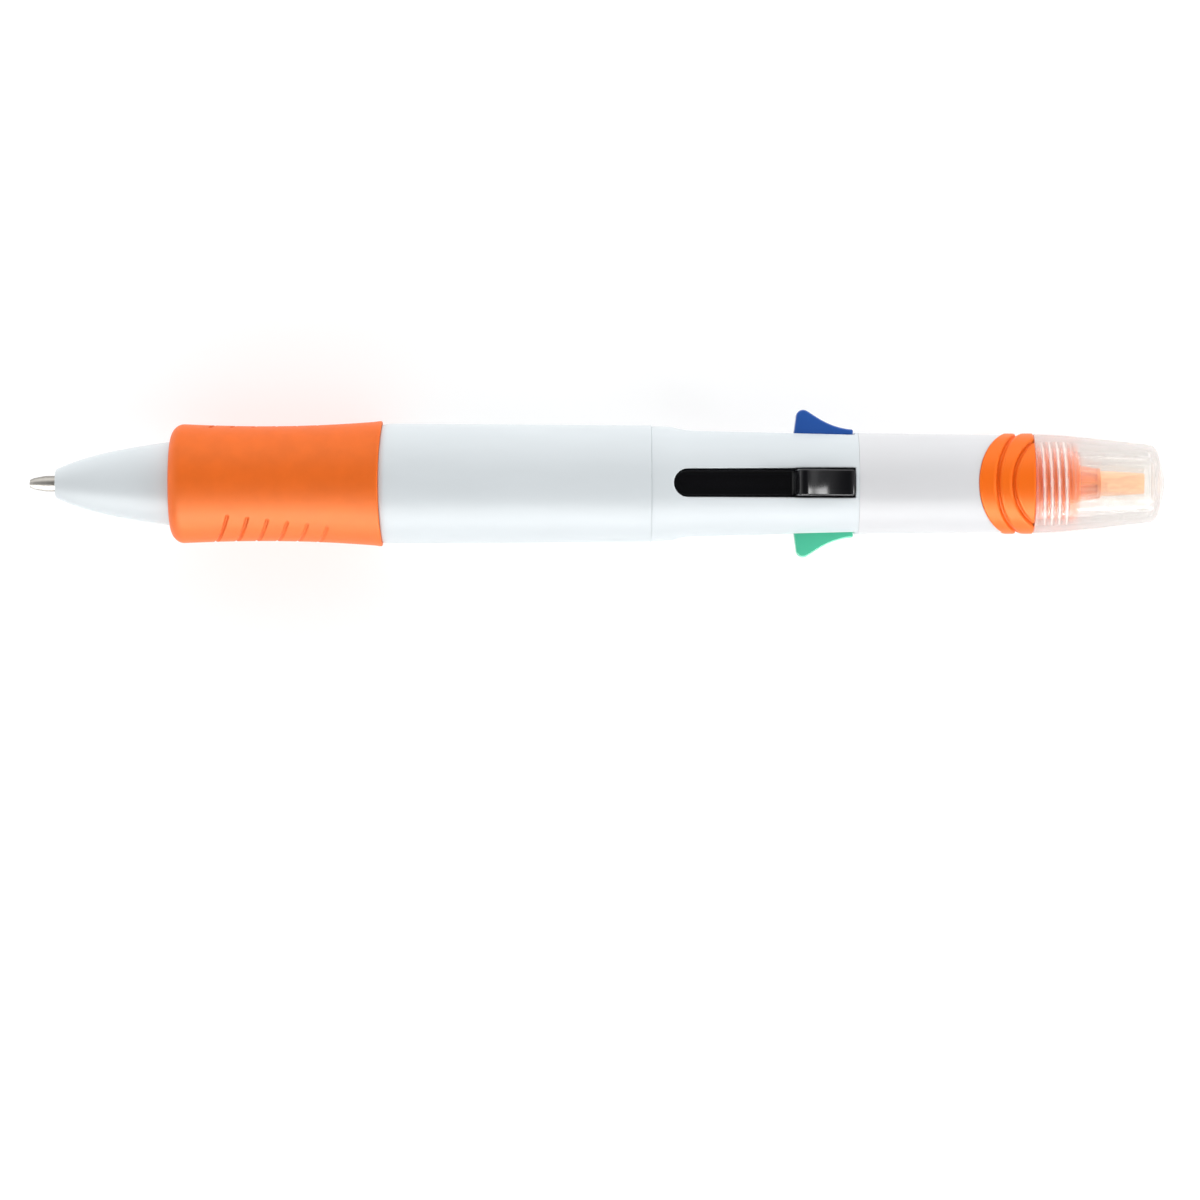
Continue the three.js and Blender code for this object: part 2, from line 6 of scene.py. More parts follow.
import bmesh
import bpy
import numpy as np
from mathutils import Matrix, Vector

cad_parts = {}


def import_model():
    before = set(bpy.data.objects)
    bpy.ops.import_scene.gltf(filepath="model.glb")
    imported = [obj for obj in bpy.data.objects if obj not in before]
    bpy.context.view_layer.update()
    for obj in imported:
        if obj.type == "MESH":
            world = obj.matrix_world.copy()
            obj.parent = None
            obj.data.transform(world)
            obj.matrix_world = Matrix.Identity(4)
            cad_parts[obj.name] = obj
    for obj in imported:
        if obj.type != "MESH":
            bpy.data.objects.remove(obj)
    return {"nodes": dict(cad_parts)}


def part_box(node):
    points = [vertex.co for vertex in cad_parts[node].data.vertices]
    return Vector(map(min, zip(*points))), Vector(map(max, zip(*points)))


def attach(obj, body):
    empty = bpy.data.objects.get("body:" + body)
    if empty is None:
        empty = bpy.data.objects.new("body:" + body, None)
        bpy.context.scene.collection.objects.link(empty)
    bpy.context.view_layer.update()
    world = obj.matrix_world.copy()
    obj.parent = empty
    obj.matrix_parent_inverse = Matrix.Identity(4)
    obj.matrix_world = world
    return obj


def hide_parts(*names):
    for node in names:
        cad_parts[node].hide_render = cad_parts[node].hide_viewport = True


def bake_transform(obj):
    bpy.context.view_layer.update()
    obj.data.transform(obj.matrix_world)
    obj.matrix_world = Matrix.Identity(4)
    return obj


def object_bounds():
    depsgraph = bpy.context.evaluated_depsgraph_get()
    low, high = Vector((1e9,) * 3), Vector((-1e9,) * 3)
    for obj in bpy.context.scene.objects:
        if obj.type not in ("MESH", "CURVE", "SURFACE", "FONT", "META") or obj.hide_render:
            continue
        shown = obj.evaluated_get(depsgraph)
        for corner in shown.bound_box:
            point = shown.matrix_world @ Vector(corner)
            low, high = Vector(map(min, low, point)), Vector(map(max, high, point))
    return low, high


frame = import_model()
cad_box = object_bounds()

# A millimetre and the writing tip's X in metres, a quarter turn, and the usual angle, in degrees, past which
# an edge stays crisp.
MM = 0.001
TIP_X = cad_box[0].x
QUARTER = math.pi / 2
CREASE = 32


def low(node):
    """Station of a CAD node's end nearest the writing tip."""
    return (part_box(node)[0].x - TIP_X) / MM


def high(node):
    """Station of a CAD node's end nearest the cap."""
    return (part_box(node)[1].x - TIP_X) / MM


def middle_height(node):
    """Height of a CAD node's middle above the pen's axis."""
    return (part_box(node)[0].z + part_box(node)[1].z) / 2 / MM


# Sizes from the frame.
LENGTH = high("highlighter_cap")
NOSE_FACE = low("front_barrel")
FRONT_SEAM = high("front_barrel")
GRIP_FRONT = low("grip_sleeve")
GRIP_REAR = high("grip_sleeve")
GUIDE_FRONT = low("refill_guide")
SPIGOT_FRONT = low("slotted_barrel")
REAR_SEAM = low("highlighter_housing")
COLLAR_EDGE = high("highlighter_housing")
COLLAR_SPIGOT = low("highlighter_collar")
NECK_END = high("highlighter_collar")
CAP_MOUTH = low("highlighter_cap")
HOLDER_FRONT = low("nib_holder")
HOLDER_END = high("nib_holder")
NIB_REAR = low("highlighter_nib")
NIB_TIP = high("highlighter_nib")
TRAVEL = low("point_black") - low("point_red")
BARB_FRONT = low("slider_black")
STEM_REAR = high("slider_black")
TUBE_FRONT = low("refill_tube_red")
TUBE_LENGTH = high("refill_tube_red") - low("refill_tube_red")
SLIDER_RADIUS = middle_height("refill_spring_black")
POINT_OFFSET = middle_height("point_black")

# The gap left between pieces that touch, then the front barrel.
GAP = 0.012
NOSE_HOLE = 1.38
NOSE_CURVE = ((4.2, 2.19), (7.6, 3.75), (12.5, 4.85), (GRIP_FRONT - GAP, 5.7))
SEAT_START = 26
SEAT_RADIUS = 6.2
BARREL_RADIUS = 8.2
FRONT_SEAM_RADIUS = 7.95
FRONT_BORE = 6.3
SPIGOT_RADIUS = 6.65

# Grip sleeve and its finger grooves. Arcs are in degrees, and the steps are from one groove to the next.
GRIP_SIDES = 256
GRIP_MOUTH_RADIUS = 5.75
GRIP_SHOULDER_RADIUS = 8.12
GRIP_SHOULDER_LENGTH = 1.9
GRIP_EDGE_WAVE = 0.4
GROOVED_FRONT = 23.4
GROOVED_REAR = 42.6
GROOVED_STEP = 0.07
GROOVE_ANGLES = (1.248, 1.248 - math.pi)
GROOVE_COUNT = 6
GROOVE_PITCH = 2.7
GROOVE_FIRST = 27.5
GROOVE_HALF_ARC = 37
GROOVE_ARC_STEP = 2.65
GROOVE_SLANT = 0.036
GROOVE_HALF_WIDTH = 0.25
GROOVE_DEPTH = 0.38
GROOVE_DEPTH_STEP = 0.033

# Slotted barrel: a slight cone with a soft step down in front of its four slots.
SLOTTED_BORE = 6.15
SLOTTED_REAR_RADIUS = 6.955
SLOTTED_TAPER = 0.0228
STEP_HEIGHT = 0.24
STEP_FRONT = 86.6
STEP_REAR = 91.2
SLOT_FRONT = 88
SLOT_REAR = 112.65
SLOT_FRONT_HALF_WIDTH = 1.95
SLOT_REAR_HALF_WIDTH = 2.03
SLOT_LIP = 0.16
SLOT_SIDE_STEPS = 30
SLOT_END_STEPS = 20
CHAMFER = 0.03

# Sliders.
BUTTON_WIDTH = 3.55
BUTTON_BEVEL = 0.22
STEM_FRONT = 84
STEM_INNER = 3
STEM_TOP = 5.78
FIN_CREST = (105.7, 9.1)
FIN_CREST_RADIUS = 0.95
BARB_LENGTH = 3.8
BARB_RADIUS = 0.75
SPRING_SEAT_RADIUS = 1.7

# Refills: ball, point, tube and return spring. Stations are from the refill's own tip.
BALL_RADIUS = 0.5
POINT_BORE = 0.3
POINT_STEP = 6.5
POINT_REAR = 8.95
PLUG_RADIUS = 0.75
PLUG_END = 11
TUBE_RADIUS = 1.15
TUBE_BORE = 0.88
BEND_FRONT = 11
BEND_REAR = 41
WIRE_RADIUS = 0.18
COIL_RADIUS = 1.48
COILS = 9
COIL_STEPS = 28

# Highlighter housing and collar. A channel is given by its station at the pen's two sides and by how far it
# swings towards the tip on top and underneath.
PARTITION_FRONT = 117.3
PARTITION_REAR = 118.8
HOUSING_RECESS = 4.1
HOUSING_RADIUS = 6.66
HOUSING_BORE = 5.6
COLLAR_EDGE_WAVE = 3.6
COLLAR_END = CAP_MOUTH - 0.1
COLLAR_RADIUS = 6.86
COLLAR_SPIGOT_BORE = 4.7
CHANNELS = ((135, 3.05), (139.05, 4.95))
CHANNEL_HALF_WIDTH = 0.3
CHANNEL_DEPTH = 0.4
CHANNEL_LEAD_IN = 0.45
CHANNEL_LEAD_IN_DEPTH = 0.13
NECK_ROOT = 5.15
NECK_BORE = 2.76

# Screw thread of the neck and the cap.
THREAD_HEIGHT = 0.4
THREAD_PITCH = 1
THREAD_START = 137.4
THREAD_TURNS = 5
THREAD_END = THREAD_START + THREAD_TURNS * THREAD_PITCH
THREAD_STEPS = 14

# Nib and its holder. A facet is the way it faces, its distance from the axis where it starts, and its slope.
HOLDER_RIBS = 8
HOLDER_RADIUS = 2.7
HOLDER_RING_RADIUS = 2.1
HOLDER_BORE = 1.76
NIB_TAIL_RADIUS = 1.2
NIB_TAIL_END = 136
NIB_RADIUS = 1.7
NIB_TAPER_START = 147.5
NIB_TIP_RADIUS = 1.4
FACET_START = 147.3
FACETS = ((0.3, 1.55, 0.27), (math.pi + 0.3, 1.62, 0.12))

# Cap, with the sleeve inside it that closes round the nib holder.
CAP_SIDES = 192
CAP_THREAD_ROOT = 6.05
CAP_CREST = CAP_THREAD_ROOT - 0.8 * THREAD_HEIGHT
CAP_END_WALL = 153.7
SLEEVE_ROOT = 152.7
SLEEVE_BORE = 3.6
SLEEVE_RADIUS = 4.4

# Where each slider is round the pen, and how far forward it rests.
COLOURS = {"black": 0.0, "blue": -QUARTER, "green": QUARTER, "red": math.pi}
FORWARD = {"black": 0.0, "blue": 0.0, "green": 0.0, "red": TRAVEL}

# Studio.
FLOOR_SHADE = (0.45, 0.45, 0.45)
FLOOR_GLOW = 0.58
SKY_LEVEL = 4.1
SKY_FRONT = 0.52
SKY_ENDS = 0.16
SKY_BACK = 0.65
OVERHEAD_LEVEL = 0.14
OVERHEAD_EDGE = 0.62
OVERHEAD_FULL = 0.93


# Meshes -----------------------------------------------------------------------------------------------

def frame_x(station):
    """Position of a station along the frame's X axis, in metres."""
    return TIP_X + station * MM


def in_frame(station, across, up, turn):
    """Points in metres from stations, distances across and heights, turned together round the pen's axis."""
    y = across * math.cos(turn) - up * math.sin(turn)
    z = across * math.sin(turn) + up * math.cos(turn)
    return np.stack([frame_x(station), y * MM, z * MM], -1)


def place(station, radius, angle, lift=0.0, turn=0.0):
    """Points in metres from stations, radii and angles, lifted off the axis and turned round it."""
    return in_frame(station, -radius * np.sin(angle), radius * np.cos(angle) + lift, turn)


def finished(mesh, material, sharp):
    """A smooth-shaded object of one material. Edges sharper than an angle in degrees stay crisp."""
    mesh.shade_smooth()
    mesh.set_sharp_from_angle(angle=math.radians(sharp))
    mesh.materials.append(material)
    piece = bpy.data.objects.new(mesh.name, mesh)
    bpy.context.scene.collection.objects.link(piece)
    return piece


def make_object(name, points, faces, material, sharp=CREASE):
    """A closed, smooth-shaded object from points in metres."""
    mesh = bpy.data.meshes.new(name)
    mesh.from_pydata(np.asarray(points).reshape(-1, 3).tolist(), [], faces)
    work = bmesh.new()
    work.from_mesh(mesh)
    bmesh.ops.remove_doubles(work, verts=work.verts, dist=1e-7)
    bmesh.ops.dissolve_degenerate(work, edges=work.edges, dist=1e-8)
    bmesh.ops.recalc_face_normals(work, faces=work.faces)
    work.to_mesh(mesh)
    work.free()
    return finished(mesh, material, sharp)


def join(piece, other, sharp):
    """Makes two closed, overlapping pieces one, and takes the second away."""
    union = piece.modifiers.new("join", "BOOLEAN")
    union.operation = "UNION"
    union.solver = "EXACT"
    union.object = other
    bpy.context.view_layer.update()
    graph = bpy.context.evaluated_depsgraph_get()
    mesh = bpy.data.meshes.new_from_object(piece.evaluated_get(graph))
    mesh.set_sharp_from_angle(angle=math.radians(sharp))
    piece.modifiers.clear()
    piece.data = mesh
    bpy.data.objects.remove(other)


def grid_faces(rows, columns, wrap_rows=False, wrap_columns=False, first=0):
    """Quads of a grid whose point (row, column) is number first + row * columns + column."""
    faces = []
    for row in range(rows if wrap_rows else rows - 1):
        below = first + row * columns
        above = first + (row + 1) % rows * columns
        for column in range(columns if wrap_columns else columns - 1):
            after = (column + 1) % columns
            faces.append((below + column, below + after, above + after, above + column))
    return faces


def turned(name, outline, material, sides, lift=0.0, turn=0.0, sharp=CREASE):
    """A turned body. outline(angle) gives its (station, radius) rows, from axis to axis or round a ring."""
    angles = np.arange(sides) * 2 * math.pi / sides
    rows = np.array([outline(angle) for angle in angles])
    points = place(rows[..., 0], rows[..., 1], angles[:, None], lift, turn)
    ring = rows[0, 0, 1] > 1e-6
    faces = grid_faces(sides, rows.shape[1], wrap_rows=True, wrap_columns=ring)
    return make_object(name, points, faces, material, sharp)


def swept(name, path, radius, material, sides, turn, bore=0.0):
    """A round wire, or a tube if it has a bore, along a path of (station, across, up) points."""
    along = np.gradient(path, axis=0)
    along /= np.linalg.norm(along, axis=1)[:, None]
    side = np.cross(along[0], (0.3, 0.5, 0.8))
    angles = np.arange(sides) * 2 * math.pi / sides
    outer, inner = [], []
    for centre, direction in zip(path, along):
        side = side - direction * side.dot(direction)
        side /= np.linalg.norm(side)
        spokes = np.outer(np.cos(angles), side) + np.outer(np.sin(angles), np.cross(direction, side))
        outer.append(centre + radius * spokes)
        inner.append(centre + bore * spokes)
    loops = outer + inner[::-1] if bore else outer
    faces = grid_faces(len(loops), sides, wrap_rows=bool(bore), wrap_columns=True)
    if not bore:
        last = (len(loops) - 1) * sides
        faces += [tuple(range(sides)), tuple(range(last, last + sides))[::-1]]
    station, across, up = np.moveaxis(np.array(loops), -1, 0)
    return make_object(name, in_frame(station, across, up, turn), faces, material)


def bezier(a, b, c, d, count):
    """Points along a cubic curve from a to d, pulled towards b and c."""
    t = np.linspace(0, 1, count + 1)[:, None]
    a, b, c, d = (np.array(p, float) for p in (a, b, c, d))
    return (1 - t) ** 3 * a + 3 * t * (1 - t) ** 2 * b + 3 * t * t * (1 - t) * c + t ** 3 * d


def rounded(corners, steps=4, ring=True):
    """Rows for turned() from (station, radius, rounding) corners. Each corner becomes an arc with a short
    straight stretch on either side, which keeps the shading of long walls flat."""
    rows = []
    count = len(corners)
    for index, (station, radius, rounding) in enumerate(corners):
        here = np.array([station, radius], float)
        if rounding <= 0 or (not ring and index in (0, count - 1)):
            rows.append(here)
            continue
        before = np.array(corners[index - 1][:2], float) - here
        after = np.array(corners[(index + 1) % count][:2], float) - here
        reach = min(rounding, 0.4 * np.linalg.norm(before), 0.4 * np.linalg.norm(after))
        start = here + before / np.linalg.norm(before) * reach
        end = here + after / np.linalg.norm(after) * reach
        rows.append(here + (start - here) * 1.2)
        for t in np.linspace(0, 1, steps + 1):
            rows.append((1 - t) ** 2 * start + 2 * t * (1 - t) * here + t * t * end)
        rows.append(here + (end - here) * 1.2)
    return rows


def smoothstep(value, start, end):
    """0 before the start, 1 after the end, and a smooth rise between them."""
    t = np.clip((value - start) / (end - start), 0, 1)
    return t * t * (3 - 2 * t)


def edge_drop(share):
    """How far a quarter-round edge has fallen away: 1 where it starts, and 0 once the share reaches 1."""
    return 1 - np.sqrt(1 - (1 - np.clip(share, 0, 1)) ** 2)


# Materials --------------------------------------------------------------------------------------------

def surface(name, colour, roughness, **sockets):
    """A Principled material and its shader node. A socket's name is written with _ for each space."""
    material = bpy.data.materials.new(name)
    material.use_nodes = True
    shader = material.node_tree.nodes["Principled BSDF"]
    shader.inputs["Base Color"].default_value = (*colour, 1)
    shader.inputs["Roughness"].default_value = roughness
    for socket, value in sockets.items():
        shader.inputs[socket.replace("_", " ")].default_value = value
    return material, shader


def noise(tree, scale, detail, stretch):
    """The value of a noise texture in object space, its scale in features to the metre."""
    coordinates = tree.nodes.new("ShaderNodeTexCoord")
    mapping = tree.nodes.new("ShaderNodeMapping")
    mapping.inputs["Scale"].default_value = stretch
    texture = tree.nodes.new("ShaderNodeTexNoise")
    texture.inputs["Scale"].default_value = scale
    texture.inputs["Detail"].default_value = detail
    tree.links.new(coordinates.outputs["Object"], mapping.inputs["Vector"])
    tree.links.new(mapping.outputs["Vector"], texture.inputs["Vector"])
    return texture.outputs["Fac"]


def ramp(tree, value, low_value, high_value, low_colour, high_colour):
    """A colour that runs from one to the other as the value goes from its low to its high end."""
    node = tree.nodes.new("ShaderNodeValToRGB")
    node.color_ramp.elements[0].position = low_value
    node.color_ramp.elements[0].color = (*low_colour, 1)
    node.color_ramp.elements[1].position = high_value
    node.color_ramp.elements[1].color = (*high_colour, 1)
    tree.links.new(value, node.inputs["Fac"])
    return node.outputs["Color"]


def map_range(tree, value, low_result, high_result, low_value=0.0, high_value=1.0, interpolation="LINEAR"):
    """A number that goes from the low to the high result as the value goes from its low to its high end."""
    node = tree.nodes.new("ShaderNodeMapRange")
    node.interpolation_type = interpolation
    node.inputs["From Min"].default_value = low_value
    node.inputs["From Max"].default_value = high_value
    node.inputs["To Min"].default_value = low_result
    node.inputs["To Max"].default_value = high_result
    tree.links.new(value, node.inputs["Value"])
    return node.outputs["Result"]


def calculate(tree, operation, first, second):
    """The result of a Math node on two values, each a number or the output of another node."""
    node = tree.nodes.new("ShaderNodeMath")
    node.operation = operation
    for socket, value in zip(node.inputs, (first, second)):
        if isinstance(value, bpy.types.NodeSocket):
            tree.links.new(value, socket)
        else:
            socket.default_value = value
    return node.outputs["Value"]


def mottle(material, shader, colour, amount, scale, stretch=(1, 1, 1)):
    """A slight unevenness of colour, as a moulded or soaked material has."""
    tree = material.node_tree
    darker = [channel * (1 - amount) for channel in colour]
    lighter = [min(1, channel * (1 + amount)) for channel in colour]
    shade = ramp(tree, noise(tree, scale, 4, stretch), 0.3, 0.7, darker, lighter)
    tree.links.new(shade, shader.inputs["Base Color"])


def uneven_gloss(material, shader, roughness, amount, scale, stretch=(1, 1, 1)):
    """A roughness that varies by the amount either way."""
    tree = material.node_tree
    gloss = map_range(tree, noise(tree, scale, 5, stretch), roughness - amount, roughness + amount)
    tree.links.new(gloss, shader.inputs["Roughness"])


def grain(material, shader, scale, height, stretch=(1, 1, 1)):
    """A fine bump, its height in metres."""
    tree = material.node_tree
    bump = tree.nodes.new("ShaderNodeBump")
    bump.inputs["Distance"].default_value = height
    bump.inputs["Strength"].default_value = 1.0
    tree.links.new(noise(tree, scale, 3, stretch), bump.inputs["Height"])
    tree.links.new(bump.outputs["Normal"], shader.inputs["Normal"])


def moulded(name, colour, roughness=0.37, mottling=0.015, **sockets):
    """Injection-moulded plastic: faint flow marks along the pen, slightly uneven gloss and orange peel."""
    material, shader = surface(name, colour, roughness, **sockets)
    mottle(material, shader, colour, mottling, 260, (0.25, 1, 1))
    uneven_gloss(material, shader, roughness, 0.04, 900, (0.5, 1, 1))
    grain(material, shader, 900, 0.0000012)
    return material


def rubber(name, colour):
    """Soft matt rubber with a powdery sheen and a warm gloss."""
    material, shader = surface(name, colour, 0.55, Sheen_Weight=0.06, Sheen_Roughness=0.35,
                               Specular_IOR_Level=0.38, Specular_Tint=(1, 0.75, 0.45, 1))
    mottle(material, shader, colour, 0.04, 420)
    uneven_gloss(material, shader, 0.52, 0.05, 1500)
    grain(material, shader, 9000, 0.00001)
    return material


def metal(name, colour, roughness):
    """Turned or drawn metal: fine lines round the piece."""
    material, shader = surface(name, colour, roughness, Metallic=1.0)
    mottle(material, shader, colour, 0.06, 1800, (1, 0.3, 0.3))
    uneven_gloss(material, shader, roughness, 0.05, 2500, (1, 0.2, 0.2))
    grain(material, shader, 6000, 0.000003, (1, 0.2, 0.2))
    return material


def clear_plastic(name, colour, face_on, edge_on, transmission):
    """Clear plastic with a faint milkiness. The two amounts say how much of it is seen, face on and edge on.
    The rest of the light goes straight through, and so does the light that reaches the pieces inside."""
    material, shader = surface(name, colour, 0.1, Transmission_Weight=transmission, IOR=1.45)
    uneven_gloss(material, shader, 0.1, 0.03, 500, (0.3, 1, 1))
    grain(material, shader, 900, 0.000004, (0.35, 1, 1))
    tree = material.node_tree
    nodes, links = tree.nodes, tree.links
    edge = nodes.new("ShaderNodeLayerWeight")
    edge.inputs["Blend"].default_value = 0.58
    facing = edge.outputs["Facing"]
    ray = nodes.new("ShaderNodeLightPath")
    lighting = calculate(tree, "MAXIMUM", ray.outputs["Is Shadow Ray"], ray.outputs["Is Diffuse Ray"])
    looking = calculate(tree, "SUBTRACT", 1.0, lighting)
    slant = calculate(tree, "MULTIPLY", facing, looking)
    amount = calculate(tree, "MULTIPLY", map_range(tree, facing, face_on, edge_on), looking)
    see_through = nodes.new("ShaderNodeBsdfTransparent")
    tint = ramp(tree, slant, 0.2, 1.0, (0.99, 0.985, 0.975), (0.74, 0.735, 0.73))
    mix = nodes.new("ShaderNodeMixShader")
    links.new(tint, see_through.inputs["Color"])
    links.new(amount, mix.inputs["Fac"])
    links.new(see_through.outputs["BSDF"], mix.inputs[1])
    links.new(shader.outputs["BSDF"], mix.inputs[2])
    links.new(mix.outputs["Shader"], nodes["Material Output"].inputs["Surface"])
    return material


def felt(name, colour):
    """Felt or fibre soaked in ink, with a painted glow that makes it give back a little light of its own."""
    material, shader = surface(name, colour, 0.85, Sheen_Weight=0.25, Sheen_Roughness=0.5,
                               Emission_Color=(1.0, 0.42, 0.24, 1), Emission_Strength=0.2)
    mottle(material, shader, colour, 0.16, 2600, (0.12, 1, 1))
    grain(material, shader, 5200, 0.00004, (0.1, 1, 1))
    return material


WHITE = moulded("cool_white_plastic", (0.57, 0.608, 0.629), Specular_IOR_Level=0.14)
TAIL_WHITE = moulded("tail_white_plastic", (0.59, 0.593, 0.607), Specular_IOR_Level=0.14)
INNER_WHITE = moulded("inner_plastic", (0.6, 0.61, 0.62), 0.5)
GRIP_ORANGE = rubber("orange_rubber", (0.69, 0.116, 0.009))
COLLAR_ORANGE = moulded("orange_plastic", (0.79, 0.132, 0.008), 0.4, Specular_IOR_Level=0.32,
                        Specular_Tint=(1, 0.75, 0.4, 1))
HOLDER_ORANGE = moulded("holder_plastic", (1.0, 0.29, 0.06), 0.36, Specular_IOR_Level=0.3)
# The nib and the ink fibre glow a little: painted light, not a lamp.
NIB_FELT_PAINTED_GLOW = felt("nib_felt_painted_glow", (1.0, 0.50, 0.26))
INK_FIBRE_PAINTED_GLOW = felt("ink_fibre", (0.90, 0.35, 0.15))
REFILL_WHITE = moulded("milky_tube", (0.72, 0.72, 0.70), 0.42)
POINT_METAL = metal("nickel_silver", (0.32, 0.305, 0.28), 0.44)
BALL_METAL = metal("polished_ball", (0.66, 0.65, 0.64), 0.12)
SPRING_METAL = metal("spring_wire", (0.5, 0.5, 0.5), 0.37)
CAP_CLEAR = clear_plastic("clear_plastic", (0.72, 0.70, 0.685), 0.05, 0.85, 0.35)
# The whiter finish on the thread crests is a painted highlight.
CAP_RIDGE_PAINTED_HIGHLIGHT = clear_plastic("thread_ridge_painted_highlight", (0.95, 0.93, 0.91), 0.65, 0.9, 0.1)
SLIDER_PLASTIC = {
    "black": moulded("black_plastic", (0.004, 0.004, 0.005), 0.15, 0.1, Specular_IOR_Level=0.32),
    "blue": moulded("blue_plastic", (0.022, 0.09, 0.36), 0.21, 0.05),
    "green": moulded("green_plastic", (0.09, 0.58, 0.36), 0.21, 0.03),
    "red": moulded("red_plastic", (0.58, 0.016, 0.03), 0.21, 0.03),
}


# Front barrel and grip --------------------------------------------------------------------------------

def grip_edge(angle):
    """Station of the grip's rear edge, which waves a little round the pen."""
    return GRIP_REAR - GRIP_EDGE_WAVE * math.cos(angle) ** 2


def front_barrel_outline(angle):
    """The nose, the seat under the grip, the stretch behind it up to the seam, and the stepped bore."""
    edge = grip_edge(angle) + GAP
    return rounded([
        (NOSE_FACE, NOSE_HOLE, 0.08),
        (NOSE_FACE, 1.72, 0.1),
        (NOSE_FACE + 0.12, 1.98, 0.14),
        *[(*row, 0) for row in bezier(*NOSE_CURVE, 24)],
        (GRIP_FRONT - GAP, 5.55, 0),
        (SEAT_START, SEAT_RADIUS, 0),
        (edge, SEAT_RADIUS, 0),
        (edge, BARREL_RADIUS - 0.16, 0.1),
        (edge + 0.7, BARREL_RADIUS, 0.25),
        (FRONT_SEAM, FRONT_SEAM_RADIUS, 0.04),
        (FRONT_SEAM, SPIGOT_RADIUS + 0.1, 0),
        (SPIGOT_FRONT - 0.2, SPIGOT_RADIUS + 0.1, 0),
        (SPIGOT_FRONT - 0.2, FRONT_BORE, 0),
        (GUIDE_FRONT - GAP, FRONT_BORE, 0),
        (GUIDE_FRONT - GAP, 5.4, 0),
        (24, 5.2, 0),
        (20, 4.5, 0),
        (NOSE_FACE + 0.4, NOSE_HOLE, 0),
    ])


def groove_depth(stations, angle):
    """How far the finger grooves cut into the grip, in millimetres, at these stations."""
    depth = np.zeros_like(stations)
    for centre in GROOVE_ANGLES:
        off = math.degrees(math.remainder(centre - angle, 2 * math.pi))
        for index in range(GROOVE_COUNT):
            half = GROOVE_HALF_ARC - GROOVE_ARC_STEP * index
            fade = 1 - smoothstep(abs(off), half - 2.5, half + 1.5)
            line = GROOVE_FIRST + GROOVE_PITCH * index - GROOVE_SLANT * (half - off)
            across = np.clip(1 - ((stations - line) / GROOVE_HALF_WIDTH) ** 2, 0, 1)
            deepest = GROOVE_DEPTH - GROOVE_DEPTH_STEP * index
            depth = np.maximum(depth, deepest * fade * across ** 0.7)
    return depth


def grip_sleeve():
    """The grip: a round shoulder, a waisted body with the finger grooves, and a thin lip at the back."""
    front = GRIP_FRONT + 0.02
    shoulder = front + GRIP_SHOULDER_LENGTH
    rise = GRIP_SHOULDER_RADIUS - GRIP_MOUTH_RADIUS
    turn = np.linspace(0, QUARTER, 12)
    corner = np.stack([
        shoulder - GRIP_SHOULDER_LENGTH * np.cos(turn),
        GRIP_MOUTH_RADIUS + rise * np.sin(turn),
    ], -1)
    waist = bezier((shoulder, GRIP_SHOULDER_RADIUS), (27.5, 7.85), (36, 7.55), (47.4, 8.47), 200)
    stations = np.concatenate([
        np.linspace(shoulder + 0.2, GROOVED_FRONT - 0.1, 8),
        np.arange(GROOVED_FRONT, GROOVED_REAR, GROOVED_STEP),
        np.linspace(GROOVED_REAR + 0.2, 47.3, 12),
    ])
    body = np.stack([stations, np.interp(stations, waist[:, 0], waist[:, 1])], -1)
    lip = np.array([(-0.75, 8.5), (-0.5, 8.54), (-0.3, 8.56), (-0.15, 8.55), (-0.05, 8.5), (0, 8.42),
                    (0, 8.2), (0, SEAT_RADIUS + GAP)])
    lip[:, 0] += GRIP_REAR
    inner = np.array([(SEAT_START, SEAT_RADIUS + GAP), (front, 5.6), (front, 5.7)])

    def outline(angle):
        """The grip's rows with its grooves cut and its rear edge drawn to grip_edge()."""
        rows = np.concatenate([corner, body, lip, inner])
        outside = slice(len(corner), len(corner) + len(body))
        rows[outside, 1] -= groove_depth(rows[outside, 0], angle)
        rows[:, 0] -= (GRIP_REAR - grip_edge(angle)) * smoothstep(rows[:, 0], 40, GRIP_REAR - 0.3)
        return rows

    return turned("grip_sleeve_moulded", outline, GRIP_ORANGE, GRIP_SIDES, sharp=50)


# Slotted barrel ---------------------------------------------------------------------------------------

def slotted_radius(station):
    """Outside radius of the slotted barrel."""
    cone = SLOTTED_REAR_RADIUS + SLOTTED_TAPER * (REAR_SEAM - station)
    return cone + STEP_HEIGHT * (1 - smoothstep(station, STEP_FRONT, STEP_REAR))


def slot_outline(offset):
    """(station, half width) points round a slot: one side, its half-round front, the other side and its
    square rear, all moved outwards by the offset."""
    centre = SLOT_FRONT + SLOT_FRONT_HALF_WIDTH
    rear = SLOT_REAR + offset
    wide = SLOT_REAR_HALF_WIDTH + offset
    narrow = SLOT_FRONT_HALF_WIDTH + offset
    side = np.linspace(0, 1, SLOT_SIDE_STEPS + 1)[:-1]
    turn = np.linspace(0, math.pi, SLOT_END_STEPS + 1)[:-1]
    across = np.linspace(-wide, wide, SLOT_END_STEPS + 1)[:-1]
    return np.concatenate([
        np.stack([rear + (centre - rear) * side, wide + (narrow - wide) * side], -1),
        np.stack([centre - narrow * np.sin(turn), narrow * np.cos(turn)], -1),
        np.stack([centre + (rear - centre) * side, -narrow - (wide - narrow) * side], -1),
        np.stack([np.full_like(across, rear), across], -1),
    ])


def quarter_outline(front, rear):
    """(station, angle) points round a quarter of the barrel, matched to those of slot_outline()."""
    side = np.linspace(0, 1, SLOT_SIDE_STEPS + 1)[:-1]
    end = np.linspace(0, 1, SLOT_END_STEPS + 1)[:-1]
    edge = QUARTER / 2
    return np.concatenate([
        np.stack([rear + (front - rear) * side, np.full_like(side, edge)], -1),
        np.stack([np.full_like(end, front), edge - 2 * edge * end], -1),
        np.stack([front + (rear - front) * side, np.full_like(side, -edge)], -1),
        np.stack([np.full_like(end, rear), -edge + 2 * edge * end], -1),
    ])


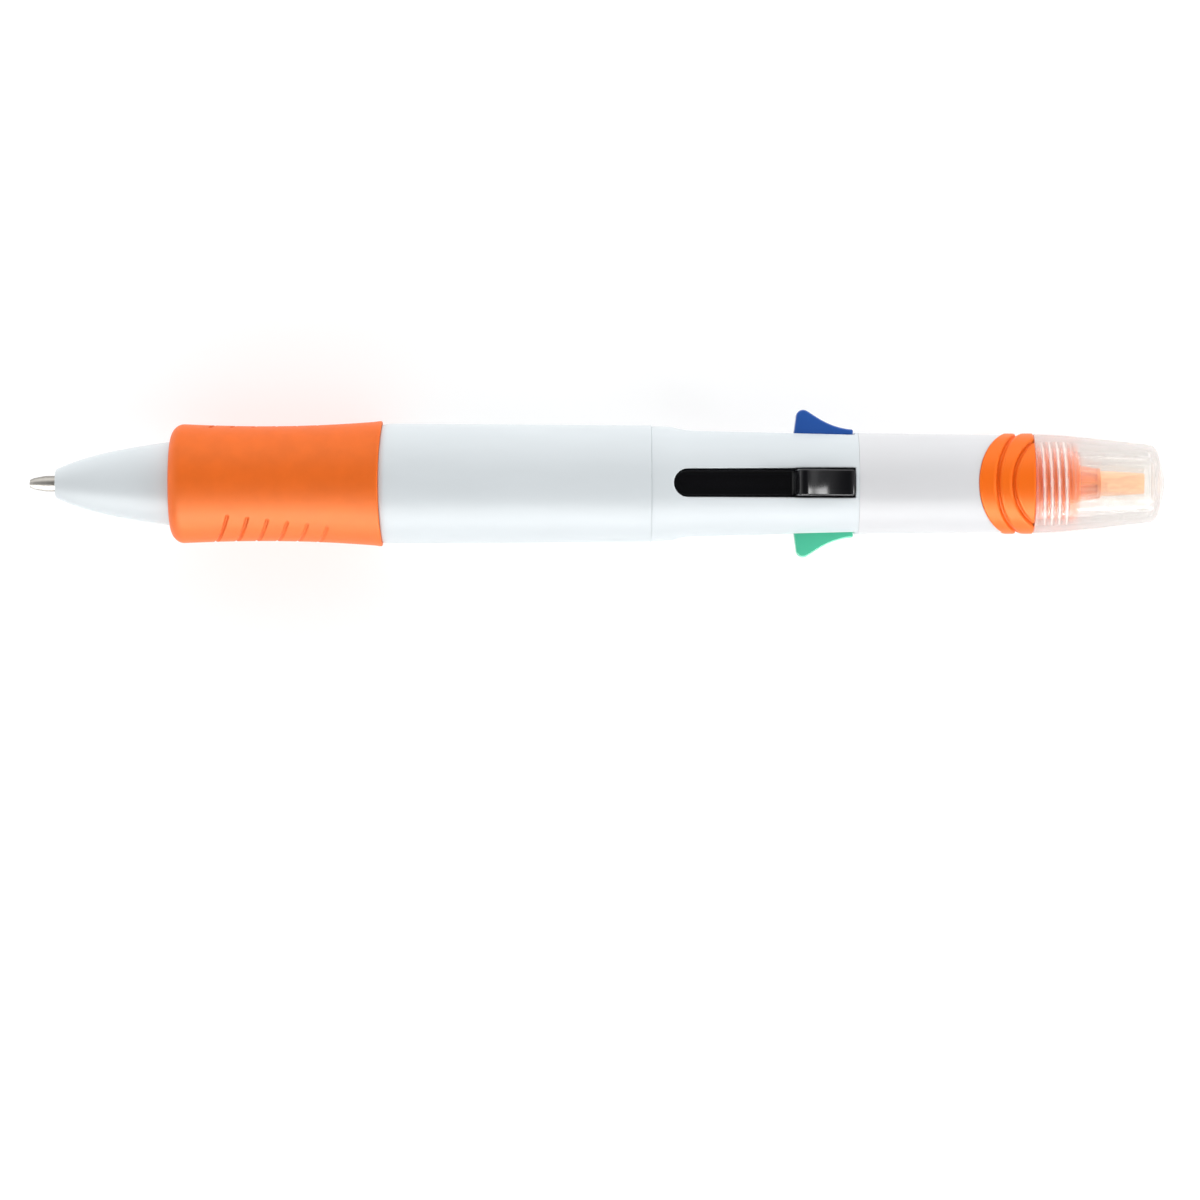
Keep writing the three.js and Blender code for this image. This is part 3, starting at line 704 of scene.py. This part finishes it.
def quarter_loops(front, rear):
    """Rings of (stations, radii, angles) over a quarter of the barrel: in across its outside to the slot,
    over the slot's lip, down its wall, and out again across the bore."""
    loops = []
    bounds = quarter_outline(front + CHAMFER, rear - CHAMFER)
    edge = slot_outline(SLOT_LIP)
    edge_angle = np.arcsin(edge[:, 1] / slotted_radius(edge[:, 0]))
    for share in (1, 0.86, 0.72, 0.6, 0.48, 0.38, 0.28, 0.19, 0.11, 0.05, 0):
        station = edge[:, 0] + (bounds[:, 0] - edge[:, 0]) * share
        angle = edge_angle + (bounds[:, 1] - edge_angle) * share
        loops.append((station, slotted_radius(station), angle))
    for lean in np.linspace(0, QUARTER, 5)[1:]:
        ring = slot_outline(SLOT_LIP * (1 - math.sin(lean)))
        radius = slotted_radius(ring[:, 0]) - SLOT_LIP * (1 - math.cos(lean))
        loops.append((ring[:, 0], radius, np.arcsin(ring[:, 1] / radius)))
    wall = slot_outline(0)
    for radius in (SLOTTED_BORE + 0.3, SLOTTED_BORE + 0.05, SLOTTED_BORE):
        loops.append((wall[:, 0], np.full(len(wall), radius), np.arcsin(wall[:, 1] / radius)))
    bounds = quarter_outline(front, rear)
    wall_angle = np.arcsin(wall[:, 1] / SLOTTED_BORE)
    for share in (0.25, 0.6, 1):
        station = wall[:, 0] + (bounds[:, 0] - wall[:, 0]) * share
        angle = wall_angle + (bounds[:, 1] - wall_angle) * share
        loops.append((station, np.full(len(wall), SLOTTED_BORE), angle))
    return loops


def slotted_barrel():
    """Four slotted quarters, closed by the spigot at the front and a chamfered face at the back."""
    front = FRONT_SEAM + GAP
    rear = REAR_SEAM - GAP
    loops = quarter_loops(front, rear)
    around = 2 * (SLOT_SIDE_STEPS + SLOT_END_STEPS)
    rings, faces = [], []
    for quarter in range(4):
        faces += grid_faces(len(loops), around, wrap_columns=True, first=quarter * len(loops) * around)
        rings += [place(station, radius, angle + quarter * QUARTER) for station, radius, angle in loops]
    angles = QUARTER / 2 + np.arange(4 * SLOT_END_STEPS) * QUARTER / SLOT_END_STEPS
    spigot = (
        (front + CHAMFER, slotted_radius(front + CHAMFER)),
        (front, slotted_radius(front) - CHAMFER),
        (front, SPIGOT_RADIUS),
        (SPIGOT_FRONT, SPIGOT_RADIUS),
        (SPIGOT_FRONT, SLOTTED_BORE),
        (front, SLOTTED_BORE),
    )
    back = (
        (rear - CHAMFER, slotted_radius(rear - CHAMFER)),
        (rear, slotted_radius(rear) - CHAMFER),
        (rear, SLOTTED_BORE),
    )
    for rows in (spigot, back):
        first = sum(len(ring) for ring in rings)
        faces += grid_faces(len(rows), len(angles), wrap_columns=True, first=first)
        rings += [place(np.full(len(angles), station), radius, angles) for station, radius in rows]
    return make_object("slotted_barrel_moulded", np.concatenate(rings), faces, WHITE, sharp=40)


# Sliders ----------------------------------------------------------------------------------------------

def fin_profile():
    """Side view of a slider that is back, as (station, height) points: stem below, shark-fin button above."""
    crest = np.array(FIN_CREST)
    lean = np.linspace(0.93 * math.pi, math.pi / 3, 14)
    toe = [(STEM_FRONT, STEM_INNER), (STEM_FRONT, STEM_TOP)]
    foot = bezier((103.95, STEM_TOP), (104.3, STEM_TOP), (104.38, 6.2), (104.42, 6.7), 6)
    top = crest + FIN_CREST_RADIUS * np.stack([np.cos(lean), np.sin(lean)], -1)
    flank = bezier(top[-1], crest + (1.6, 0.17), crest + (3.5, -1.5), (STEM_REAR - 0.15, 7.36), 16)[1:]
    heel = [(STEM_REAR, 7.2), (STEM_REAR, STEM_INNER)]
    return np.concatenate([toe, foot, top, flank, heel])


def button_plate(colour):
    """A slider's stem and button, as a plate with bevelled rims."""
    work = bmesh.new()
    side = -BUTTON_WIDTH / 2
    profile = fin_profile() - (FORWARD[colour], 0)
    face = work.faces.new([work.verts.new((station, side, height)) for station, height in profile])
    result = bmesh.ops.extrude_face_region(work, geom=[face])
    moved = [item for item in result["geom"] if isinstance(item, bmesh.types.BMVert)]
    bmesh.ops.translate(work, verts=moved, vec=(0, BUTTON_WIDTH, 0))
    rims = [edge for edge in work.edges if abs(edge.verts[0].co.y - edge.verts[1].co.y) < 1e-6]
    bmesh.ops.bevel(work, geom=rims, offset=BUTTON_BEVEL, segments=4, profile=0.5, affect="EDGES",
                    clamp_overlap=True)
    bmesh.ops.recalc_face_normals(work, faces=work.faces)
    for vertex in work.verts:
        vertex.co = in_frame(*vertex.co, COLOURS[colour])
    mesh = bpy.data.meshes.new(f"slider_{colour}_moulded")
    work.to_mesh(mesh)
    work.free()
    return finished(mesh, SLIDER_PLASTIC[colour], 40)


def slider(colour):
    """One slider, with its spring seat and the barb that the refill plugs on to."""
    piece = button_plate(colour)
    seat = BARB_FRONT + BARB_LENGTH
    root = STEM_FRONT + 1
    corners = [
        (BARB_FRONT, 0, 0),
        (BARB_FRONT, BARB_RADIUS, 0.2),
        (seat, BARB_RADIUS, 0),
        (seat, SPRING_SEAT_RADIUS, 0.15),
        (root, SPRING_SEAT_RADIUS, 0),
        (root, 0, 0),
    ]
    rows = [(row[0] - FORWARD[colour], row[1]) for row in rounded(corners, ring=False)]
    stub = turned("stub", lambda angle: rows, SLIDER_PLASTIC[colour], 32, SLIDER_RADIUS, COLOURS[colour])
    join(piece, stub, 40)
    return piece


# Refills ----------------------------------------------------------------------------------------------

def refill_tip(colour):
    """Station of a refill's tip, and its height off the axis, which it loses as it comes forward."""
    tip = TRAVEL - FORWARD[colour]
    return tip, POINT_OFFSET * tip / TRAVEL


def point(colour):
    """A metal point: a cone from the ball's seat, a step, and a plug that the tube is pushed over."""
    tip, height = refill_tip(colour)
    corners = [
        (0.14, 0.38, 0),
        (0.14, 0.53, 0.05),
        (0.68, 0.76, 0.1),
        (1.2, 0.88, 0.1),
        (2.3, 1.07, 0.3),
        (POINT_STEP, 1.07, 0.05),
        (POINT_STEP, TUBE_RADIUS, 0.05),
        (POINT_REAR, TUBE_RADIUS, 0.05),
        (POINT_REAR, PLUG_RADIUS, 0),
        (PLUG_END, PLUG_RADIUS, 0.1),
        (PLUG_END, POINT_BORE, 0),
        (1.05, POINT_BORE, 0),
        (0.8, 0.47, 0),
        (0.5, 0.53, 0),
    ]
    rows = [(tip + row[0], row[1]) for row in rounded(corners)]
    return turned(f"point_{colour}_turned", lambda angle: rows, POINT_METAL, 48, height, COLOURS[colour], 40)


def ball(colour):
    """The writing ball."""
    tip, height = refill_tip(colour)
    rows = [(tip + BALL_RADIUS * (1 - math.cos(lean)), BALL_RADIUS * math.sin(lean))
            for lean in np.linspace(0, math.pi, 25)]
    return turned(f"ball_{colour}_ground", lambda angle: rows, BALL_METAL, 40, height, COLOURS[colour], 60)


def refill_tube(colour):
    """An ink tube, bent from its point's place to its slider's."""
    tip, height = refill_tip(colour)
    stations = np.linspace(TUBE_FRONT, TUBE_FRONT + TUBE_LENGTH, 60)
    heights = height + (SLIDER_RADIUS - height) * smoothstep(stations, BEND_FRONT, BEND_REAR)
    path = np.stack([stations + tip, np.zeros_like(stations), heights], -1)
    name = f"refill_tube_{colour}_drawn"
    tube = swept(name, path, TUBE_RADIUS, REFILL_WHITE, 24, COLOURS[colour], TUBE_BORE)
    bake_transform(tube)
    return tube


def refill_spring(colour):
    """A return spring from the guide to the slider's seat, which closes up as the slider comes forward."""
    front = low(f"refill_spring_{colour}")
    rear = high(f"refill_spring_{colour}")
    share = np.linspace(0, 1, COILS * COIL_STEPS)
    rise = smoothstep(share, -0.12, 1.12)
    rise = (rise - rise[0]) / (rise[-1] - rise[0])
    stations = front + WIRE_RADIUS + (rear - front - 2 * WIRE_RADIUS) * rise
    angle = 2 * math.pi * COILS * share
    path = np.stack([
        stations,
        COIL_RADIUS * np.sin(angle),
        SLIDER_RADIUS + COIL_RADIUS * np.cos(angle),
    ], -1)
    name = f"refill_spring_{colour}_wound"
    spring = swept(name, path, WIRE_RADIUS, SPRING_METAL, 8, COLOURS[colour])
    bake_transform(spring)
    return spring


# Tail -------------------------------------------------------------------------------------------------

def wave(angle):
    """1 on top and underneath, 0 at the two sides, with a softened turn at the sides."""
    softness = 0.25
    peak = math.sqrt(1 + softness ** 2) - softness
    return (math.sqrt(math.cos(angle) ** 2 + softness ** 2) - softness) / peak


def scalloped_edge(angle):
    """Station where the housing ends and the collar's outside begins."""
    return COLLAR_EDGE - COLLAR_EDGE_WAVE * wave(angle)


def housing_outline(angle):
    """The housing: a recess at the front, a partition, and a tube up to the scalloped edge."""
    edge = scalloped_edge(angle)
    return rounded([
        (PARTITION_FRONT, 0, 0),
        (PARTITION_FRONT, HOUSING_RECESS, 0),
        (REAR_SEAM, HOUSING_RECESS, 0),
        (REAR_SEAM, 6.95, 0.05),
        (115, 6.88, 0.5),
        (edge, HOUSING_RADIUS, 0.1),
        (edge, HOUSING_BORE, 0),
        (PARTITION_REAR, HOUSING_BORE, 0),
        (PARTITION_REAR, 0, 0),
    ], ring=False)


def thread_ridge(station, angle):
    """Height of a right-handed thread's rounded ridge, 0 to 1, run out over its first and last half turn."""
    turns = (station - THREAD_START) / THREAD_PITCH
    phase = (turns - angle / (2 * math.pi)) % 1
    fade = np.clip(2 * np.minimum(turns, THREAD_TURNS - turns), 0, 1)
    return fade * smoothstep(np.abs(2 * phase - 1), 0.25, 0.95)


def thread_rows(root, height, angle):
    """A thread's (station, radius) rows. A negative height makes an inside thread."""
    stations = np.linspace(THREAD_START, THREAD_END, THREAD_TURNS * THREAD_STEPS + 1)
    return [(station, root + height * thread_ridge(station, angle)) for station in stations]


def collar_band(angle):
    """The collar's outside: two rounded channels that follow the scalloped edge until they meet the cap."""
    start = scalloped_edge(angle) + GAP
    stations = start + (COLLAR_END - start) * np.linspace(0, 1, 120)
    radius = np.full_like(stations, COLLAR_RADIUS)
    for station, swing in CHANNELS:
        away = np.abs(stations - (station - swing * wave(angle)))
        lead_in = np.clip(1 - (away - CHANNEL_HALF_WIDTH) / CHANNEL_LEAD_IN, 0, 1)
        radius -= CHANNEL_LEAD_IN_DEPTH * lead_in ** 2
        radius -= CHANNEL_DEPTH * np.sqrt(np.clip(1 - (away / CHANNEL_HALF_WIDTH) ** 2, 0, 1))
    radius -= 0.22 * edge_drop((stations - start) / 0.35)
    radius -= 0.12 * edge_drop((COLLAR_END - stations) / 0.2)
    return list(zip(stations, radius))


def collar_outline(angle):
    """The collar: a spigot inside the housing, the orange band, and the threaded neck under the cap."""
    edge = scalloped_edge(angle) + GAP
    return [
        (COLLAR_SPIGOT, COLLAR_SPIGOT_BORE),
        (COLLAR_SPIGOT, HOUSING_BORE - GAP),
        (edge, HOUSING_BORE - GAP),
        *collar_band(angle),
        (COLLAR_END, 6.6),
        (COLLAR_END, NECK_ROOT),
        *thread_rows(NECK_ROOT, THREAD_HEIGHT, angle),
        (NECK_END - 0.35, NECK_ROOT),
        (NECK_END - 0.1, NECK_ROOT - 0.08),
        (NECK_END, NECK_ROOT - 0.3),
        (NECK_END, NECK_BORE),
        (HOLDER_FRONT - 0.1, NECK_BORE),
        (HOLDER_FRONT - 0.1, COLLAR_SPIGOT_BORE),
    ]


def holder_outline(angle):
    """The nib holder: ribs that taper to a ring round the nib."""
    rib = smoothstep(math.cos(HOLDER_RIBS * angle), 0.1, 0.9)
    return rounded([
        (HOLDER_FRONT, HOLDER_BORE, 0),
        (HOLDER_FRONT, HOLDER_RADIUS, 0),
        (NECK_END + 0.05, HOLDER_RADIUS, 0.1),
        (NECK_END + 0.2, 1.95 + 0.6 * rib, 0.1),
        (HOLDER_END - 0.6, 1.8 + 0.28 * rib, 0.1),
        (HOLDER_END - 0.5, HOLDER_RING_RADIUS, 0.05),
        (HOLDER_END, HOLDER_RING_RADIUS, 0.1),
        (HOLDER_END, HOLDER_BORE, 0),
    ])


def nib_rows():
    """(station, radius) rows of the felt rod before it is cut: a thinner tail, the rod and a slight taper."""
    corners = [
        (NIB_REAR, 0, 0),
        (NIB_REAR, NIB_TAIL_RADIUS, 0.1),
        (NIB_TAIL_END, NIB_TAIL_RADIUS, 0),
        (NIB_TAIL_END + 0.3, NIB_RADIUS, 0.1),
        (NIB_TAPER_START, NIB_RADIUS, 0.5),
        (NIB_TIP, NIB_TIP_RADIUS, 0.25),
        (NIB_TIP, 0, 0),
    ]
    start, *body, end = rounded(corners, ring=False)
    stations = np.linspace(NIB_TAPER_START + 0.5, NIB_TIP - 0.5, 20)
    share = (stations - NIB_TAPER_START) / (NIB_TIP - NIB_TAPER_START)
    taper = zip(stations, NIB_RADIUS + (NIB_TIP_RADIUS - NIB_RADIUS) * share)
    return [start, *sorted([*body, *taper], key=lambda row: row[0]), end]


def nib():
    """The felt nib, cut to a chisel: one broad facet towards +Z and a narrower one opposite."""
    rod = nib_rows()

    def outline(angle):
        """The rod's rows, cut back to whichever facet is nearer the axis."""
        rows = []
        for station, radius in rod:
            along = station - FACET_START
            for direction, distance, slope in FACETS:
                facing = math.cos(angle - direction)
                if along > 0 and facing > 0.05:
                    radius = min(radius, max(0.15, distance - slope * along) / facing)
            rows.append((station, radius))
        return rows

    return turned("highlighter_nib_felt", outline, NIB_FELT_PAINTED_GLOW, 120, sharp=25)


def cap_outline(angle):
    """The cap: its end wall and sleeve inside, then the thread up to the mouth, and the outside back."""
    inside = rounded([
        (CAP_END_WALL, 0, 0),
        (CAP_END_WALL, SLEEVE_BORE, 0.3),
        (NECK_END + 0.3, SLEEVE_BORE, 0.1),
        (NECK_END + 0.3, SLEEVE_RADIUS, 0.1),
        (SLEEVE_ROOT, SLEEVE_RADIUS + 0.1, 0.08),
        (SLEEVE_ROOT, 4.72, 0.08),
        (THREAD_END + 0.4, 5.8, 0),
    ], ring=False)
    outside = rounded([
        (CAP_MOUTH, CAP_THREAD_ROOT + 0.1, 0),
        (CAP_MOUTH, 6.78, 0.12),
        (141, 6.62, 1),
        (146.4, 6.1, 1.5),
        (152.2, 5.44, 0.8),
        (153.45, 5.22, 0.4),
        (154.12, 4.52, 0.55),
        (154.62, 2.75, 0.5),
        (LENGTH, 1.3, 0.1),
        (LENGTH, 0, 0),
    ], ring=False)
    return [*inside, *thread_rows(CAP_THREAD_ROOT, -THREAD_HEIGHT, angle)[::-1], *outside]


def highlighter_cap():
    """The cap, with the crest of its inside thread in a milkier, whiter finish that paints in the highlights
    its thread crests catch.
    """
    cap = turned("highlighter_cap_moulded", cap_outline, CAP_CLEAR, CAP_SIDES, sharp=40)
    cap.data.materials.append(CAP_RIDGE_PAINTED_HIGHLIGHT)
    for face in cap.data.polygons:
        radius = math.hypot(face.center.y, face.center.z) / MM
        if frame_x(THREAD_START) < face.center.x < frame_x(THREAD_END) and radius < CAP_CREST:
            face.material_index = 1
    return cap


# Assembly ---------------------------------------------------------------------------------------------

def fit(piece, body, node):
    """Sets a piece in the frame: attaches it to the body it moves with, or leaves it loose when the body is
    None, as for a piece that bends between two, and hides the CAD node it stands for."""
    if body:
        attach(piece, body)
    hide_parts(node)


def fit_moulded(node, outline, material, sides, sharp=CREASE):
    """A turned moulding that is fixed in the barrel and stands for one CAD node."""
    fit(turned(f"{node}_moulded", outline, material, sides, sharp=sharp), "barrel", node)


fit_moulded("front_barrel", front_barrel_outline, WHITE, 192)
fit(grip_sleeve(), "barrel", "grip_sleeve")
fit(slotted_barrel(), "barrel", "slotted_barrel")
fit_moulded("highlighter_housing", housing_outline, TAIL_WHITE, 192)
fit_moulded("highlighter_collar", collar_outline, COLLAR_ORANGE, 224, sharp=45)
fit_moulded("nib_holder", holder_outline, HOLDER_ORANGE, 128)
fit(nib(), "barrel", "highlighter_nib")
fit(highlighter_cap(), "cap", "highlighter_cap")

for colour in COLOURS:
    fit(slider(colour), f"slider_{colour}", f"slider_{colour}")
    fit(point(colour), f"refill_point_{colour}", f"point_{colour}")
    fit(ball(colour), f"refill_point_{colour}", f"ball_{colour}")
    fit(refill_tube(colour), None, f"refill_tube_{colour}")
    fit(refill_spring(colour), None, f"refill_spring_{colour}")

for node, material in {
    "refill_guide": INNER_WHITE,
    "slider_core": INNER_WHITE,
    "ink_reservoir": INK_FIBRE_PAINTED_GLOW,
}.items():
    carried = frame["nodes"][node]
    carried.data.materials.clear()
    carried.data.materials.append(material)


# Floor, light and camera ------------------------------------------------------------------------------

def floor():
    """A plain pale floor, just under the lowest slider button."""
    half, level = 3.0, cad_box[0].z - 0.0001
    mesh = bpy.data.meshes.new("floor")
    corners = [(-half, -half, level), (half, -half, level), (half, half, level), (-half, half, level)]
    mesh.from_pydata(corners, [], [(0, 1, 2, 3)])
    material, shader = surface("pale_floor", FLOOR_SHADE, 0.9, Emission_Color=(1, 1, 1, 1),
                               Emission_Strength=FLOOR_GLOW)
    mottle(material, shader, FLOOR_SHADE, 0.004, 12)
    mesh.materials.append(material)
    piece = bpy.data.objects.new("floor", mesh)
    bpy.context.scene.collection.objects.link(piece)


def softbox(name, place_at, aim, size, power, glare_only=False):
    """A rectangular lamp aimed at a point. A glare-only one shows in glossy surfaces and lights no others."""
    light = bpy.data.lights.new(name, "AREA")
    light.shape = "RECTANGLE"
    light.size, light.size_y = size
    light.energy = power
    lamp = bpy.data.objects.new(name, light)
    lamp.location = place_at
    lamp.rotation_euler = (Vector(aim) - Vector(place_at)).to_track_quat("-Z", "Y").to_euler()
    lamp.visible_diffuse = not glare_only
    bpy.context.scene.collection.objects.link(lamp)


def camera():
    """Straight above the pen, and near enough for a little perspective."""
    distance, width_seen, sensor = 0.78, 0.164, 36
    lens = bpy.data.cameras.new("camera")
    lens.sensor_width = sensor
    lens.lens = sensor * distance / width_seen
    lens.clip_end = 20
    viewer = bpy.data.objects.new("camera", lens)
    viewer.location = (0.0005, -0.0159, distance)
    bpy.context.scene.collection.objects.link(viewer)
    bpy.context.scene.camera = viewer


def world():
    """Soft light from all round, darker overhead and towards the pen's ends, and brighter on the +Y side."""
    sky = bpy.data.worlds.new("studio")
    sky.use_nodes = True
    tree = sky.node_tree
    direction = tree.nodes.new("ShaderNodeTexCoord")
    split = tree.nodes.new("ShaderNodeSeparateXYZ")
    tree.links.new(direction.outputs["Generated"], split.inputs["Vector"])
    overhead = map_range(tree, split.outputs["Z"], 1.0, OVERHEAD_LEVEL, OVERHEAD_EDGE, OVERHEAD_FULL,
                         interpolation="SMOOTHSTEP")
    sideways = map_range(tree, split.outputs["Y"], 0.0, 1.0, -1.0, 1.0)
    sides = tree.nodes.new("ShaderNodeValToRGB")
    sides.color_ramp.interpolation = "EASE"
    sides.color_ramp.elements.new(0.42)
    sides.color_ramp.elements.new(0.58)
    for element, level in zip(sides.color_ramp.elements, (SKY_FRONT, SKY_ENDS, SKY_ENDS, SKY_BACK)):
        element.color = (level, level, level, 1)
    tree.links.new(sideways, sides.inputs["Fac"])
    strength = calculate(tree, "MULTIPLY", overhead, sides.outputs["Color"])
    background = tree.nodes["Background"]
    background.inputs["Color"].default_value = (SKY_LEVEL, SKY_LEVEL, SKY_LEVEL, 1)
    tree.links.new(strength, background.inputs["Strength"])
    bpy.context.scene.world = sky


floor()
world()
camera()
softbox("front_softbox", (0, -0.9, 0.3), (0, 0, 0), (1.8, 0.4), 1.0)
softbox("front_glare", (0, -0.9, 0.32), (0, 0, 0), (1.8, 0.9), 48, glare_only=True)
softbox("end_softbox", (0.62, -0.12, 0.33), (0.03, 0, 0.01), (0.16, 0.16), 1.5)
for name, side, power in (("point_end_fill", -1, 3.2), ("cap_end_fill", 1, 2.5)):
    softbox(name, (1.2 * side, 0, 0.25), (0, 0, 0.02), (1.6, 0.45), power)
bpy.context.scene.view_settings.view_transform = "Standard"
